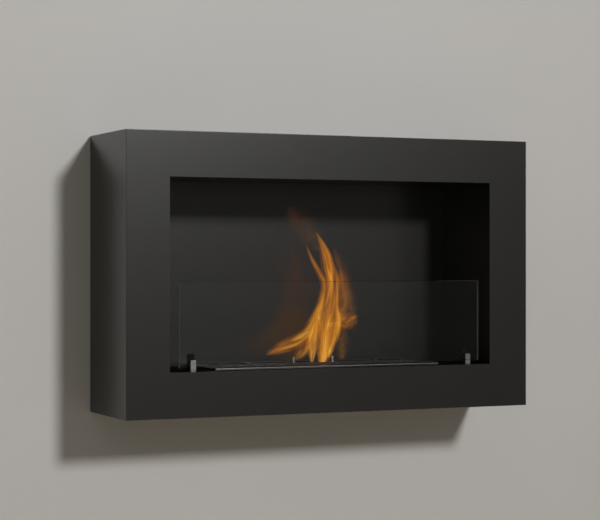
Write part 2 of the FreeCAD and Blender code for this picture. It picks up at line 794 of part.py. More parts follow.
def make_lid(side, sign):
    knob_x = (lid_inner + size.knob_inset) * sign
    body = new_body("lid_" + side)
    outline = new_sketch(body, f"lid_{side}_outline", "XY_Plane", lid_low)
    lid_x = span(lid_inner * sign, (lid_inner + size.lid_length) * sign)
    add_rectangle(outline, lid_x, about(-burner_middle, lid_width))
    add_circle(outline, (knob_x, -burner_middle), size.knob_stub + size.hole_play * 2)
    plate = pad(body, outline, size.lid_sheet)
    corners = edge_names(plate.Shape, lambda box: box.ZLength > NEAR and box.XLength < NEAR)
    uprights = [name for name in corners if is_corner(plate.Shape, name, lid_x)]
    ease(body, "Fillet", plate, uprights, size.lid_corner)

    knob = new_body("lid_knob_" + side)
    profile = new_sketch(knob, f"knob_{side}_profile", "XZ_Plane", 0)
    shoulder_top = lid_top + size.knob_shoulder_height
    knob_top = lid_top + size.knob_height
    add_outline(profile, [
        (0, lid_low),
        (size.knob_stub / 2, lid_low),
        (size.knob_stub / 2, lid_top),
        (size.knob_shoulder / 2, lid_top),
        (size.knob_shoulder / 2, shoulder_top),
        (size.knob_diameter / 2, shoulder_top),
        (size.knob_diameter / 2, knob_top),
        (0, knob_top),
    ])
    turned = knob.newObject("PartDesign::Revolution", f"knob_{side}_turned")
    turned.Profile = profile
    turned.ReferenceAxis = (profile, ["V_Axis"])
    turned.Angle = 360
    doc.recompute()
    top = knob_top.value - NEAR
    ease(knob, "Fillet", turned, edge_names(turned.Shape, lambda box: box.ZMin > top), size.knob_round)
    place(knob, knob_x, burner_middle, 0)


def is_corner(shape, name, lid_x):
    """True for an upright edge at a lid's outer corners, not the seam of its knob hole."""
    x = shape.getElement(name).BoundBox.XMin
    return any(abs(x - end.value) < NEAR for end in lid_x)


make_front_casing()
make_rear_panel()
make_rear_panel_screws()
make_wall_rail()
make_firebox_walls()
make_firebox_back()
make_firebox_fasteners()
make_clips()
make_glass_pane()
make_burner_top_plate()
make_burner_tank()
make_burner_wool()
make_lid_guide("lid_guide_front", 1)
make_lid_guide("lid_guide_rear", -1)
make_guide_fasteners()
make_lid("left", -1)
make_lid("right", 1)
doc.recompute()

for item in doc.Objects:
    if "Invalid" in item.State or "Error" in item.State:
        raise RuntimeError(f"{item.Label} failed: {item.State}")
for item in nodes:
    if item.Shape.isNull() or not item.Shape.isValid():
        raise RuntimeError(f"{item.Label} has no valid shape")

os.makedirs("parts", exist_ok=True)
for item in nodes:
    item.Shape.exportStep(f"parts/{item.Label}.step")
    print(f"{item.Label}: {len(item.Shape.Solids)} solids, {item.Shape.Volume:.1f} mm3")
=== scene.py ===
import json
import math

import bpy
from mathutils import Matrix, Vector

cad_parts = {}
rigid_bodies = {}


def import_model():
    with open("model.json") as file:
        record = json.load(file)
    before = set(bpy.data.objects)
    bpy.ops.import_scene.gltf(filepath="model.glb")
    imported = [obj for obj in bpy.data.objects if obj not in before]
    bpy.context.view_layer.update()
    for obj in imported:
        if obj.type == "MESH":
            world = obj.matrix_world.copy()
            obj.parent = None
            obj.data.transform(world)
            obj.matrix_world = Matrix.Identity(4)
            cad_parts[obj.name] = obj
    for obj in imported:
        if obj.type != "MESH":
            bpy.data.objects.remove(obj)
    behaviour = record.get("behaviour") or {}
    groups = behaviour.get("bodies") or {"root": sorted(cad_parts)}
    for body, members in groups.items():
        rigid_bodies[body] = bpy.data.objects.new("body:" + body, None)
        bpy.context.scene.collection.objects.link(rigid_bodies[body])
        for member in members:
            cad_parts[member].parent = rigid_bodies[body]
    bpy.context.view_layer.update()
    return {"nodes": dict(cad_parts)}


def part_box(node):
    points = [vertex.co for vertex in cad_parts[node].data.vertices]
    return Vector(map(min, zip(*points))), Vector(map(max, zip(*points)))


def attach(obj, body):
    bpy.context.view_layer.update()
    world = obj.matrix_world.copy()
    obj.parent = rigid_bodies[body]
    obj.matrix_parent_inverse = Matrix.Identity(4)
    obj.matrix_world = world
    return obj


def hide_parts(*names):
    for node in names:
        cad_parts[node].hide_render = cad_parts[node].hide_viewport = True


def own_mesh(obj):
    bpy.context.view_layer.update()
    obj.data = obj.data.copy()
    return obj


# A wall fireplace that burns bio-ethanol, dressed piece by piece in the order it is put together.
# Metres; X runs to the right, Y into the wall and Z up, with the origin at the back's centre.

for leftover in list(bpy.data.objects):
    bpy.data.objects.remove(leftover, do_unlink=True)
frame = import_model()


# Wall rail and rear panel: galvanised sheet steel. The rail is screwed to the wall first, and the
# upper edge of the panel's cut-out hangs behind its hook.

ZINC_COLOURS = [(0.20, (0.38, 0.39, 0.41)), (0.80, (0.48, 0.49, 0.51))]
ZINC_SPANGLE = 120.0  # crystals per metre, roughly
ZINC_PATCHES = 120.0  # duller and brighter patches per metre
ZINC_ROUGHNESS = (0.38, 0.52)
ZINC_GRAIN = 600.0  # fine bumps per metre
ZINC_RELIEF = 0.00004
RAIL_EDGE = 0.0004  # width of the broken edges
EDGE_WELD = 1e-6  # corners closer than this are one corner
EDGE_SEGMENTS = 2
EDGE_ANGLE = math.radians(40)  # sharper edges than this are broken


def new_material(name, inputs):
    """A material with one Principled shader, its constants set on the shader's own sockets."""
    material = bpy.data.materials.new(name)
    material.use_nodes = True
    shader = material.node_tree.nodes["Principled BSDF"]
    for socket, value in inputs.items():
        shader.inputs[socket].default_value = value
    return material, material.node_tree, shader


def add_node(tree, kind, inputs, **settings):
    """A node with its settings, and its inputs either set or linked."""
    node = tree.nodes.new(kind)
    for name, value in settings.items():
        setattr(node, name, value)
    for socket, value in inputs.items():
        if isinstance(value, bpy.types.NodeSocket):
            tree.links.new(value, node.inputs[socket])
        else:
            node.inputs[socket].default_value = value
    return node


def object_place(tree, stretch=(1.0, 1.0, 1.0)):
    """Object coordinates, stretched along the axes."""
    coordinates = add_node(tree, "ShaderNodeTexCoord", {})
    mapping = {"Vector": coordinates.outputs["Object"], "Scale": stretch}
    return add_node(tree, "ShaderNodeMapping", mapping).outputs["Vector"]


def noise(tree, scale, detail=3.0, stretch=(1.0, 1.0, 1.0)):
    """Noise on object coordinates, with features of about 1 / scale metres."""
    inputs = {"Vector": object_place(tree, stretch), "Scale": scale, "Detail": detail}
    return add_node(tree, "ShaderNodeTexNoise", inputs).outputs["Fac"]


def colours(tree, factor, stops):
    """A colour ramp over a factor."""
    ramp = add_node(tree, "ShaderNodeValToRGB", {"Fac": factor})
    while len(ramp.color_ramp.elements) < len(stops):
        ramp.color_ramp.elements.new(0.5)
    for element, (position, colour) in zip(ramp.color_ramp.elements, stops):
        element.position = position
        element.color = (*colour, 1.0)
    return ramp.outputs["Color"]


def between(tree, factor, low, high, start=0.3, end=0.7):
    """A value that goes from low to high as the factor goes from start to end."""
    inputs = {"Value": factor, "From Min": start, "From Max": end, "To Min": low, "To Max": high}
    return add_node(tree, "ShaderNodeMapRange", inputs).outputs["Result"]


def bump(tree, shader, height, distance, strength=1.0):
    """Fine relief on a shader's normal."""
    inputs = {"Height": height, "Distance": distance, "Strength": strength}
    tree.links.new(add_node(tree, "ShaderNodeBump", inputs).outputs["Normal"], shader.inputs["Normal"])


def dress(material, *names):
    """Give CAD nodes a material in place of the plain one they came with."""
    for name in names:
        mesh = frame["nodes"][name].data
        mesh.materials.clear()
        mesh.materials.append(material)


def ease_edges(width, *names):
    """Break the sharp edges of CAD nodes."""
    for name in names:
        node = frame["nodes"][name]
        weld = node.modifiers.new("Join split corners", "WELD")
        weld.merge_threshold = EDGE_WELD
        bevel = node.modifiers.new("Broken edges", "BEVEL")
        bevel.width = width
        bevel.segments = EDGE_SEGMENTS
        bevel.limit_method = "ANGLE"
        bevel.angle_limit = EDGE_ANGLE
        bevel.harden_normals = True


def make_zinc_sheet():
    material, tree, shader = new_material("Zinc sheet", {"Metallic": 1.0})
    inputs = {"Vector": object_place(tree), "Scale": ZINC_SPANGLE}
    crystals = add_node(tree, "ShaderNodeTexVoronoi", inputs).outputs["Color"]
    tree.links.new(colours(tree, crystals, ZINC_COLOURS), shader.inputs["Base Color"])
    tree.links.new(between(tree, noise(tree, ZINC_PATCHES), *ZINC_ROUGHNESS), shader.inputs["Roughness"])
    bump(tree, shader, noise(tree, ZINC_GRAIN), ZINC_RELIEF)
    return material


zinc_sheet = make_zinc_sheet()
dress(zinc_sheet, "wall_rail", "rear_panel")
ease_edges(RAIL_EDGE, "wall_rail")


# Rear panel screws: countersunk steel screws with hexagon sockets, zinc plated, flush with the
# panel. They hold it to the casing's return flange.

SCREW_COLOURS = [(0.30, (0.74, 0.75, 0.77)), (0.70, (0.84, 0.85, 0.87))]
SCREW_TINT = 400.0  # changes of colour per metre
SCREW_GRAIN = 900.0  # changes of gloss per metre
SCREW_ROUGHNESS = (0.24, 0.38)


def make_zinc_fasteners():
    material, tree, shader = new_material("Zinc fasteners", {"Metallic": 1.0})
    tree.links.new(colours(tree, noise(tree, SCREW_TINT), SCREW_COLOURS), shader.inputs["Base Color"])
    tree.links.new(between(tree, noise(tree, SCREW_GRAIN), *SCREW_ROUGHNESS), shader.inputs["Roughness"])
    return material


zinc_fasteners = make_zinc_fasteners()
dress(zinc_fasteners, "rear_panel_screws")


# Front casing: folded sheet steel with the window cut in its face and its corners welded and ground, in
# satin black powder coat. The coat has a faint orange peel and is very slightly uneven.

COAT_COLOURS = [(0.25, (0.0060, 0.0056, 0.0046)), (0.75, (0.0078, 0.0073, 0.0060))]
COAT_ROUGHNESS = (0.263, 0.270)
COAT_IOR = 1.72  # a dense coat, which mirrors more than plain paint
COAT_PATCHES = 14.0  # changes of colour per metre
COAT_CLOUDS = 60.0  # changes of gloss per metre
COAT_PEEL = 700.0  # bumps of the orange peel per metre
COAT_PEEL_DETAIL = 2.0
COAT_PEEL_HEIGHT = 0.00002
COAT_PEEL_STRENGTH = 0.5


def make_powder_coat(name, stops, roughness, ior):
    material, tree, shader = new_material(name, {"IOR": ior})
    tree.links.new(colours(tree, noise(tree, COAT_PATCHES), stops), shader.inputs["Base Color"])
    tree.links.new(between(tree, noise(tree, COAT_CLOUDS), *roughness), shader.inputs["Roughness"])
    peel = noise(tree, COAT_PEEL, detail=COAT_PEEL_DETAIL)
    bump(tree, shader, peel, COAT_PEEL_HEIGHT, COAT_PEEL_STRENGTH)
    return material


powder_coat = make_powder_coat("Satin black powder coat", COAT_COLOURS, COAT_ROUGHNESS, COAT_IOR)
dress(powder_coat, "front_casing")


# Firebox: four folded walls and a back sheet in heat-proof black, about as glossy as the casing, with a
# dull floor. Weld studs and nuts hold its front flanges to the casing, rivets hold the back to the walls.

HEAT_COAT_COLOURS = [(0.25, (0.0062, 0.0058, 0.0048)), (0.75, (0.0080, 0.0075, 0.0062))]
HEAT_COAT_ROUGHNESS = (0.246, 0.256)
FLOOR_COAT_ROUGHNESS = (0.80, 0.90)  # the floor is scuffed by the burner
FLOOR_COAT_IOR = 1.06  # and hardly mirrors

heat_coat = make_powder_coat("Heat-proof black coat", HEAT_COAT_COLOURS, HEAT_COAT_ROUGHNESS, COAT_IOR)
floor_coat = make_powder_coat(
    "Scuffed black coat", HEAT_COAT_COLOURS, FLOOR_COAT_ROUGHNESS, FLOOR_COAT_IOR
)
dress(heat_coat, "firebox_left_wall", "firebox_right_wall", "firebox_ceiling", "firebox_back")
dress(floor_coat, "firebox_floor")
dress(zinc_fasteners, "firebox_studs", "firebox_nuts", "firebox_rivets")


# Clips: small U brackets of brushed stainless steel on the firebox floor, lined with black silicone,
# each with a dark upright plate screwed to its rear leg. A weld stud and a nut hold each to the floor.

CLIP_COLOURS = [(0.30, (0.285, 0.283, 0.276)), (0.70, (0.360, 0.355, 0.347))]
STEEL_GRAIN = (6.0, 500.0, 500.0)  # grain runs along X
STEEL_ROUGHNESS = (0.26, 0.42)
STEEL_RELIEF = 0.00002
STEEL_RELIEF_STRENGTH = 0.4
BRIGHT_RIM = 1.0  # clean steel mirrors fully at a flat angle
CLIP_EDGE = 0.00025
SILICONE_COLOURS = [(0.30, (0.006, 0.006, 0.006)), (0.70, (0.011, 0.011, 0.011))]
SILICONE_SPECKLE = 300.0  # changes of colour per metre
SILICONE_PATCHES = 150.0  # changes of gloss per metre
SILICONE_ROUGHNESS = (0.5, 0.65)
SILICONE_IOR = 1.41
MATT_COLOURS = [(0.30, (0.0030, 0.0029, 0.0027)), (0.70, (0.0050, 0.0048, 0.0045))]
MATT_ROUGHNESS = (0.78, 0.88)
MATT_IOR = 1.12


def make_brushed_steel(name, stops, rim):
    material, tree, shader = new_material(name, {"Metallic": 1.0, "Specular Tint": (rim, rim, rim, 1.0)})
    grain = noise(tree, 1.0, stretch=STEEL_GRAIN)
    tree.links.new(colours(tree, grain, stops), shader.inputs["Base Color"])
    tree.links.new(between(tree, grain, *STEEL_ROUGHNESS), shader.inputs["Roughness"])
    bump(tree, shader, grain, STEEL_RELIEF, STEEL_RELIEF_STRENGTH)
    return material


def make_silicone():
    material, tree, shader = new_material("Black silicone", {"IOR": SILICONE_IOR})
    speckle = noise(tree, SILICONE_SPECKLE)
    patches = noise(tree, SILICONE_PATCHES)
    tree.links.new(colours(tree, speckle, SILICONE_COLOURS), shader.inputs["Base Color"])
    tree.links.new(between(tree, patches, *SILICONE_ROUGHNESS), shader.inputs["Roughness"])
    return material


clip_steel = make_brushed_steel("Satin stainless steel", CLIP_COLOURS, BRIGHT_RIM)
dress(clip_steel, "clip_left", "clip_right")
dress(make_silicone(), "clip_liner_left", "clip_liner_right")
matt_black = make_powder_coat("Matt black", MATT_COLOURS, MATT_ROUGHNESS, MATT_IOR)
dress(matt_black, "clip_backplate_left", "clip_backplate_right", "clip_back_screws")
dress(zinc_fasteners, "clip_studs", "clip_nuts")
ease_edges(CLIP_EDGE, "clip_left", "clip_right", "clip_backplate_left", "clip_backplate_right")


# Glass: one loose pane of clear toughened glass that stands in the two clips. Its faces mirror a little
# of the room, its long edges are polished and nearly clear with a dark tint that is painted shade
# against the lamp's light on the top one, and its ends are ground to a pale grey-green that is partly
# a painted highlight.

PANE_COLOURS = [(0.30, (0.965, 0.975, 0.970)), (0.70, (0.985, 0.990, 0.988))]
# The long edges' dark tint is painted shade, and the ends' pale tint is partly a painted highlight.
EDGE_COLOURS_WITH_PAINTED_SHADE = [(0.30, (0.022, 0.024, 0.023)), (0.70, (0.030, 0.033, 0.032))]
END_COLOURS_WITH_PAINTED_HIGHLIGHT = [(0.30, (0.16, 0.175, 0.17)), (0.70, (0.20, 0.215, 0.21))]
EDGE_COVER = 0.10  # the polished long edges are nearly clear
END_COVER = 0.8
EDGE_IOR = 1.52
EDGE_ROUGHNESS = 0.25
EDGE_PATCHES = 40.0  # changes of colour per metre
END_NORMAL = 0.7  # a surface that turns this far to the side has an end's full cover
PANE_IOR = 1.28  # faces with a coat that cuts reflections
PANE_ROUGHNESS = 0.02
PANE_PATCHES = 20.0  # changes of tint per metre
FACE_NORMAL = 0.5  # a surface that turns further from the pane's front is an edge
MIX_COLOURS = (6, 7)  # the two colour inputs of a mix node
MIX_RESULT = 2  # and its colour output


def maths(tree, operation, *values):
    """One step of arithmetic on numbers or sockets."""
    inputs = dict(enumerate(values))
    return add_node(tree, "ShaderNodeMath", inputs, operation=operation).outputs["Value"]


def make_glass():
    inputs = {"IOR": EDGE_IOR, "Roughness": EDGE_ROUGHNESS}
    material, tree, edge = new_material("Clear toughened glass", inputs)
    normal = add_node(tree, "ShaderNodeNewGeometry", {}).outputs["True Normal"]
    facing = add_node(tree, "ShaderNodeSeparateXYZ", {"Vector": normal}).outputs
    on_end = maths(tree, "ABSOLUTE", facing["X"])
    # Tint of the edges: painted shade on the long edges, partly a painted highlight on the ends.
    edge_tint_with_painted_light = add_node(tree, "ShaderNodeMix", {"Factor": on_end}, data_type="RGBA")
    for socket, stops in zip(MIX_COLOURS, (EDGE_COLOURS_WITH_PAINTED_SHADE, END_COLOURS_WITH_PAINTED_HIGHLIGHT)):
        tree.links.new(colours(tree, noise(tree, EDGE_PATCHES), stops), edge_tint_with_painted_light.inputs[socket])
    tree.links.new(edge_tint_with_painted_light.outputs[MIX_RESULT], edge.inputs["Base Color"])
    cover = between(tree, on_end, EDGE_COVER, END_COVER, 0.0, END_NORMAL)
    tree.links.new(cover, edge.inputs["Alpha"])
    mirror = add_node(tree, "ShaderNodeBsdfGlossy", {"Roughness": PANE_ROUGHNESS})
    clear = add_node(tree, "ShaderNodeBsdfTransparent", {})
    tint = colours(tree, noise(tree, PANE_PATCHES), PANE_COLOURS)
    tree.links.new(tint, mirror.inputs["Color"])
    tree.links.new(tint, clear.inputs["Color"])
    share = add_node(tree, "ShaderNodeFresnel", {"IOR": PANE_IOR})
    pane = add_node(tree, "ShaderNodeMixShader", {0: share.outputs["Fac"]})
    tree.links.new(clear.outputs["BSDF"], pane.inputs[1])
    tree.links.new(mirror.outputs["BSDF"], pane.inputs[2])
    frontward = maths(tree, "SUBTRACT", maths(tree, "ABSOLUTE", facing["Y"]), on_end)
    on_face = maths(tree, "GREATER_THAN", frontward, FACE_NORMAL)
    both = add_node(tree, "ShaderNodeMixShader", {0: on_face})
    tree.links.new(edge.outputs["BSDF"], both.inputs[1])
    tree.links.new(pane.outputs["Shader"], both.inputs[2])
    tree.links.new(both.outputs["Shader"], tree.nodes["Material Output"].inputs["Surface"])
    return material


dress(make_glass(), "glass_pane")


# Fuel tank and cover plate: welded and folded stainless steel, darkened by heat. The plate's turned-down
# lips stand on the firebox floor, with the tank hanging in the floor's cut-out.

BURNER_COLOURS = [(0.30, (0.110, 0.107, 0.101)), (0.70, (0.155, 0.150, 0.142))]
BURNER_RIM = 0.4  # the dull skin mirrors less at a flat angle

burner_steel = make_brushed_steel("Heat-darkened steel", BURNER_COLOURS, BURNER_RIM)
dress(burner_steel, "burner_tank", "burner_top_plate")


# Ceramic fibre block: white refractory wool that fills the tank and soaks up the fuel. It replaces
# the plain CAD block, with a lumpy top and loose fibres where the slot shows it.

WOOL_COLOURS = [(0.25, (0.56, 0.53, 0.47)), (0.75, (0.80, 0.77, 0.70))]
WOOL_TUFTS = 220.0  # changes of colour per metre
WOOL_THREADS = 900.0  # fine bumps per metre
WOOL_DETAIL = 6.0
WOOL_RELIEF = 0.0004
WOOL_ROUGHNESS = 0.95
WOOL_LUMP = 0.0012  # height of the lumps on top
WOOL_WAVES = (410, 530, 170)  # lumps along X, along Y and their slant, in radians per metre
WOOL_CELLS = (90, 28, 10)
WOOL_CORNER = 0.005  # radius that fits the tank's bent corners
FIBRE_COUNT = 700
FIBRE_LENGTH = 0.006
FIBRE_RADIUS = 0.00012
FIBRE_SEED = 7
FIBRE_STEPS = 5
FIBRE_SIDES = 3
FIBRE_SINK = 0.0006  # lowest start, below the block's top
FIBRE_RISE = 0.0004  # highest start, above it
FIBRE_TILT = (1.4, 0.2)  # largest turns about X and Y
FIBRE_TURN = 6.283  # any way round
FIBRE_SCALE = (0.5, 1.2)
FIBRE_PATCH = ((-0.01, -0.01), (0.01, -0.01), (0.0, 0.02))  # corners of the face they are spread from
SLOT_HALF = (0.031, 0.018)  # half the area under the flame slot that gets loose fibres


def make_wool_material():
    material, tree, shader = new_material("Ceramic fibre", {"Roughness": WOOL_ROUGHNESS})
    tufts = noise(tree, WOOL_TUFTS, detail=WOOL_DETAIL)
    tree.links.new(colours(tree, tufts, WOOL_COLOURS), shader.inputs["Base Color"])
    bump(tree, shader, noise(tree, WOOL_THREADS, detail=WOOL_DETAIL), WOOL_RELIEF)
    return material


def wool_block(low, high):
    """A closed block of quads with rounded corners, its upper face pushed down into soft lumps."""
    nx, ny, nz = WOOL_CELLS
    wave_x, wave_y, slant = WOOL_WAVES
    places = {}
    faces = []
    inner_low = Vector(low) + Vector((WOOL_CORNER, WOOL_CORNER, WOOL_CORNER))
    inner_high = Vector(high) - Vector((WOOL_CORNER, WOOL_CORNER, 0.0))

    def corner(i, j, k):
        if (i, j, k) not in places:
            share = Vector((i / nx, j / ny, k / nz))
            point = Vector(a + (b - a) * s for a, b, s in zip(low, high, share))
            inside = Vector(min(max(p, a), b) for p, a, b in zip(point, inner_low, inner_high))
            outward = point - inside
            if outward.length > WOOL_CORNER:
                point = inside + outward.normalized() * WOOL_CORNER
            if k == nz:
                wave = math.sin(point.x * wave_x) * math.sin(point.y * wave_y + point.x * slant)
                point.z -= WOOL_LUMP * (0.5 - 0.5 * wave)
            places[i, j, k] = (len(places), point)
        return places[i, j, k][0]

    for i in range(nx):
        for j in range(ny):
            for k, order in ((0, 1), (nz, -1)):
                quad = [(i, j, k), (i, j + 1, k), (i + 1, j + 1, k), (i + 1, j, k)]
                faces.append([corner(*spot) for spot in quad[::order]])
    for i in range(nx):
        for k in range(nz):
            for j, order in ((0, 1), (ny, -1)):
                quad = [(i, j, k), (i + 1, j, k), (i + 1, j, k + 1), (i, j, k + 1)]
                faces.append([corner(*spot) for spot in quad[::order]])
    for j in range(ny):
        for k in range(nz):
            for i, order in ((0, 1), (nx, -1)):
                quad = [(i, j, k), (i, j, k + 1), (i, j + 1, k + 1), (i, j + 1, k)]
                faces.append([corner(*spot) for spot in quad[::order]])
    mesh = bpy.data.meshes.new("Wool block")
    mesh.from_pydata([point for _, point in places.values()], [], faces)
    mesh.update()
    return mesh


def new_nodes(name, inputs):
    """An empty geometry node group with geometry in and out and named inputs."""
    group = bpy.data.node_groups.new(name, "GeometryNodeTree")
    group.interface.new_socket("Geometry", in_out="INPUT", socket_type="NodeSocketGeometry")
    for label, kind in inputs:
        group.interface.new_socket(label, in_out="INPUT", socket_type=kind)
    group.interface.new_socket("Geometry", in_out="OUTPUT", socket_type="NodeSocketGeometry")
    return group, group.nodes.new("NodeGroupInput"), group.nodes.new("NodeGroupOutput")


def run_nodes(item, group, values):
    """Run a node group on an object and return the result as a plain mesh."""
    modifier = item.modifiers.new(group.name, "NODES")
    modifier.node_group = group
    for socket in group.interface.items_tree:
        if socket.in_out == "INPUT" and socket.name in values:
            modifier[socket.identifier] = values[socket.name]
    depsgraph = bpy.context.evaluated_depsgraph_get()
    mesh = bpy.data.meshes.new_from_object(item.evaluated_get(depsgraph), depsgraph=depsgraph)
    item.modifiers.remove(modifier)
    return mesh


def fibre_nodes(material):
    """Short bent fibres scattered over a face, lying nearly flat on it."""
    group, given, result = new_nodes("Loose fibres", [
        ("Count", "NodeSocketInt"), ("Length", "NodeSocketFloat"), ("Radius", "NodeSocketFloat"),
        ("Seed", "NodeSocketInt"),
    ])

    def add(kind, inputs, **settings):
        return add_node(group, kind, inputs, **settings)

    spread = add("GeometryNodeMeshToPoints", {"Mesh": given.outputs["Geometry"]}, mode="FACES")
    copies = add("GeometryNodeDuplicateElements", {
        "Geometry": spread.outputs["Points"], "Amount": given.outputs["Count"],
    }, domain="POINT")
    offset = add("FunctionNodeRandomValue", {
        "Min": (-SLOT_HALF[0], -SLOT_HALF[1], -FIBRE_SINK), "Max": (*SLOT_HALF, FIBRE_RISE),
        "Seed": given.outputs["Seed"],
    }, data_type="FLOAT_VECTOR")
    moved = add("GeometryNodeSetPosition", {
        "Geometry": copies.outputs["Geometry"], "Offset": offset.outputs["Value"],
    })
    half = maths(group, "MULTIPLY", given.outputs["Length"], 0.5)
    start = add("ShaderNodeCombineXYZ", {"X": maths(group, "MULTIPLY", half, -1.0)})
    middle = add("ShaderNodeCombineXYZ", {"Z": half})
    end = add("ShaderNodeCombineXYZ", {"X": half})
    bend = add("GeometryNodeCurveQuadraticBezier", {
        "Resolution": FIBRE_STEPS, "Start": start.outputs["Vector"], "Middle": middle.outputs["Vector"],
        "End": end.outputs["Vector"],
    })
    ring = add("GeometryNodeCurvePrimitiveCircle", {
        "Resolution": FIBRE_SIDES, "Radius": given.outputs["Radius"],
    }, mode="RADIUS")
    strand = add("GeometryNodeCurveToMesh", {
        "Curve": bend.outputs["Curve"], "Profile Curve": ring.outputs["Curve"],
    })
    turn = add("FunctionNodeRandomValue", {
        "Min": (-FIBRE_TILT[0], -FIBRE_TILT[1], 0.0), "Max": (*FIBRE_TILT, FIBRE_TURN),
        "Seed": given.outputs["Seed"],
    }, data_type="FLOAT_VECTOR")
    grow = add("FunctionNodeRandomValue", {
        "Min": (FIBRE_SCALE[0],) * 3, "Max": (FIBRE_SCALE[1],) * 3, "Seed": given.outputs["Seed"],
    }, data_type="FLOAT_VECTOR")
    strands = add("GeometryNodeInstanceOnPoints", {
        "Points": moved.outputs["Geometry"], "Instance": strand.outputs["Mesh"],
        "Rotation": turn.outputs["Value"], "Scale": grow.outputs["Value"],
    })
    real = add("GeometryNodeRealizeInstances", {"Geometry": strands.outputs["Instances"]})
    painted = add("GeometryNodeSetMaterial", {"Geometry": real.outputs["Geometry"], "Material": material})
    group.links.new(painted.outputs["Geometry"], result.inputs["Geometry"])
    return group


def new_object(name, data):
    """An object in the scene that holds a mesh, curve, lamp or camera."""
    item = bpy.data.objects.new(name, data)
    bpy.context.scene.collection.objects.link(item)
    return item


wool_material = make_wool_material()
wool_low, wool_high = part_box("burner_wool")
wool = new_object("ceramic_fibre_block", wool_block(wool_low, wool_high))
wool.data.materials.append(wool_material)
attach(wool, "burner")
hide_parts("burner_wool")

wool_middle = (Vector(wool_low) + Vector(wool_high)) / 2
patch_corners = [(wool_middle.x + x, wool_middle.y + y, wool_high[2]) for x, y in FIBRE_PATCH]
patch = bpy.data.meshes.new("Fibre patch")
patch.from_pydata(patch_corners, [], [(0, 1, 2)])
fibres = new_object("loose_ceramic_fibres", patch)
fibres.data = run_nodes(fibres, fibre_nodes(wool_material), {
    "Count": FIBRE_COUNT, "Length": FIBRE_LENGTH, "Radius": FIBRE_RADIUS, "Seed": FIBRE_SEED,
})
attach(fibres, "burner")


# Guides, rivets and stop pins: folded strips in heat-proof black, riveted to the plate. They hold down
# the lids' long edges, and a bare steel pin stops each lid where it is fully open.

GUIDE_EDGE = 0.00015
PIN_COLOURS = [(0.30, (0.52, 0.515, 0.50)), (0.70, (0.64, 0.63, 0.615))]

dress(heat_coat, "lid_guide_front", "lid_guide_rear", "guide_rivets")
pin_steel = make_brushed_steel("Bright stainless steel", PIN_COLOURS, BRIGHT_RIM)
dress(pin_steel, "lid_stop_pins")
ease_edges(GUIDE_EDGE, "lid_guide_front", "lid_guide_rear")


# Lids and knobs: two stainless plates that slide together over the slot to put the flame out, each
# with a turned pin that is pushed with a hook.

dress(burner_steel, "lid_left", "lid_right")
dress(pin_steel, "lid_knob_left", "lid_knob_right")
ease_edges(GUIDE_EDGE, "lid_left", "lid_right")


# Flame: burning alcohol vapour over the open slot, in curved, streaky tongues that thin out upwards.
# It isn't solid.

# Each tongue runs from base to tip. A point has its sideways and depth offsets from the slot's middle,
# its height above the fibre block and half the tongue's width there, in millimetres.
LEFT_TONGUES = [
    [(-9, 2, 4, 1), (-9, 3, 13, 2), (-9, 4, 26, 6), (-10, 5, 44, 10), (-7, 6, 64, 12), (-1, 7, 86, 11),
     (7, 7, 110, 9), (14, 6, 134, 8), (17, 3, 154, 8), (8, 0, 177, 7), (-6, -3, 198, 6), (-17, -5, 218, 4),
     (-25, -6, 236, 1)],
    [(12, 2, 128, 3), (5, 3, 110, 8), (-4, 4, 89, 12), (-14, 5, 71, 15), (-26, 6, 59, 17), (-39, 6, 52, 17),
     (-53, 5, 47, 16), (-66, 4, 43, 15), (-80, 3, 38, 13), (-92, 2, 33, 9), (-103, 2, 29, 2)],
    [(6, -3, 104, 3), (-2, -4, 84, 9), (-10, -5, 66, 13), (-19, -6, 50, 16), (-30, -7, 37, 15),
     (-42, -8, 26, 10), (-53, -8, 19, 2)],
    [(-9, -1, 4, 1), (-9, -2, 13, 2), (-7, -2, 26, 5), (-5, -3, 46, 10), (-1, -3, 74, 12), (6, -2, 102, 9),
     (14, -1, 132, 6), (19, 0, 160, 1)],
]
BODY_TONGUES = [
    [(11, 0, 5, 8), (17, 1, 28, 16), (21, 2, 50, 20), (19, 2, 72, 24), (20, 1, 101, 22), (23, -1, 123, 18),
     (27, -2, 145, 15), (28, -1, 167, 15), (26, 1, 184, 15), (23, 3, 202, 13), (18, 4, 222, 10),
     (10, 4, 240, 6), (0, 4, 258, 1)],
]
CORE_TONGUES = [
    [(11, -2, 4, 7), (16, -4, 43, 12), (18, -5, 66, 12), (25, -5, 94, 11), (31, -4, 116, 9),
     (31, -2, 145, 9), (31, 0, 167, 8), (32, 2, 186, 8), (29, 4, 208, 7), (19, 5, 230, 5), (1, 5, 257, 1)],
    [(12, 3, 4, 7), (17, 6, 28, 13), (20, 8, 50, 14), (26, 8, 76, 10), (35, 7, 104, 2)],
    [(22, -3, 20, 5), (34, -6, 58, 10), (41, -7, 87, 10), (40, -6, 116, 9), (44, -4, 145, 8),
     (42, -3, 175, 6), (34, -2, 198, 1)],
]
CURL_TONGUES = [
    [(18, -2, 84, 10), (38, -4, 86, 20), (56, -5, 89, 23), (72, -5, 94, 19), (84, -5, 102, 4)],
]
STREAK_TONGUES = [
    [(76, -4, 100, 10), (69, -3, 131, 15), (60, -3, 155, 17), (52, -4, 178, 17), (44, -5, 202, 14),
     (34, -5, 228, 5)],
    [(52, 0, 16, 9), (54, 0, 40, 15), (52, 0, 64, 15), (48, 0, 88, 6)],
]
VEIL_TONGUES = [
    [(38, 4, 52, 6), (47, 4, 76, 14), (55, 4, 102, 19), (59, 4, 126, 18), (59, 4, 150, 14), (55, 3, 172, 8),
     (50, 2, 194, 1)],
]
HAZE_TONGUES = [
    [(16, 3, 218, 8), (-4, 3, 242, 26), (-22, 3, 262, 34), (-40, 3, 282, 30), (-56, 3, 304, 14)],
]
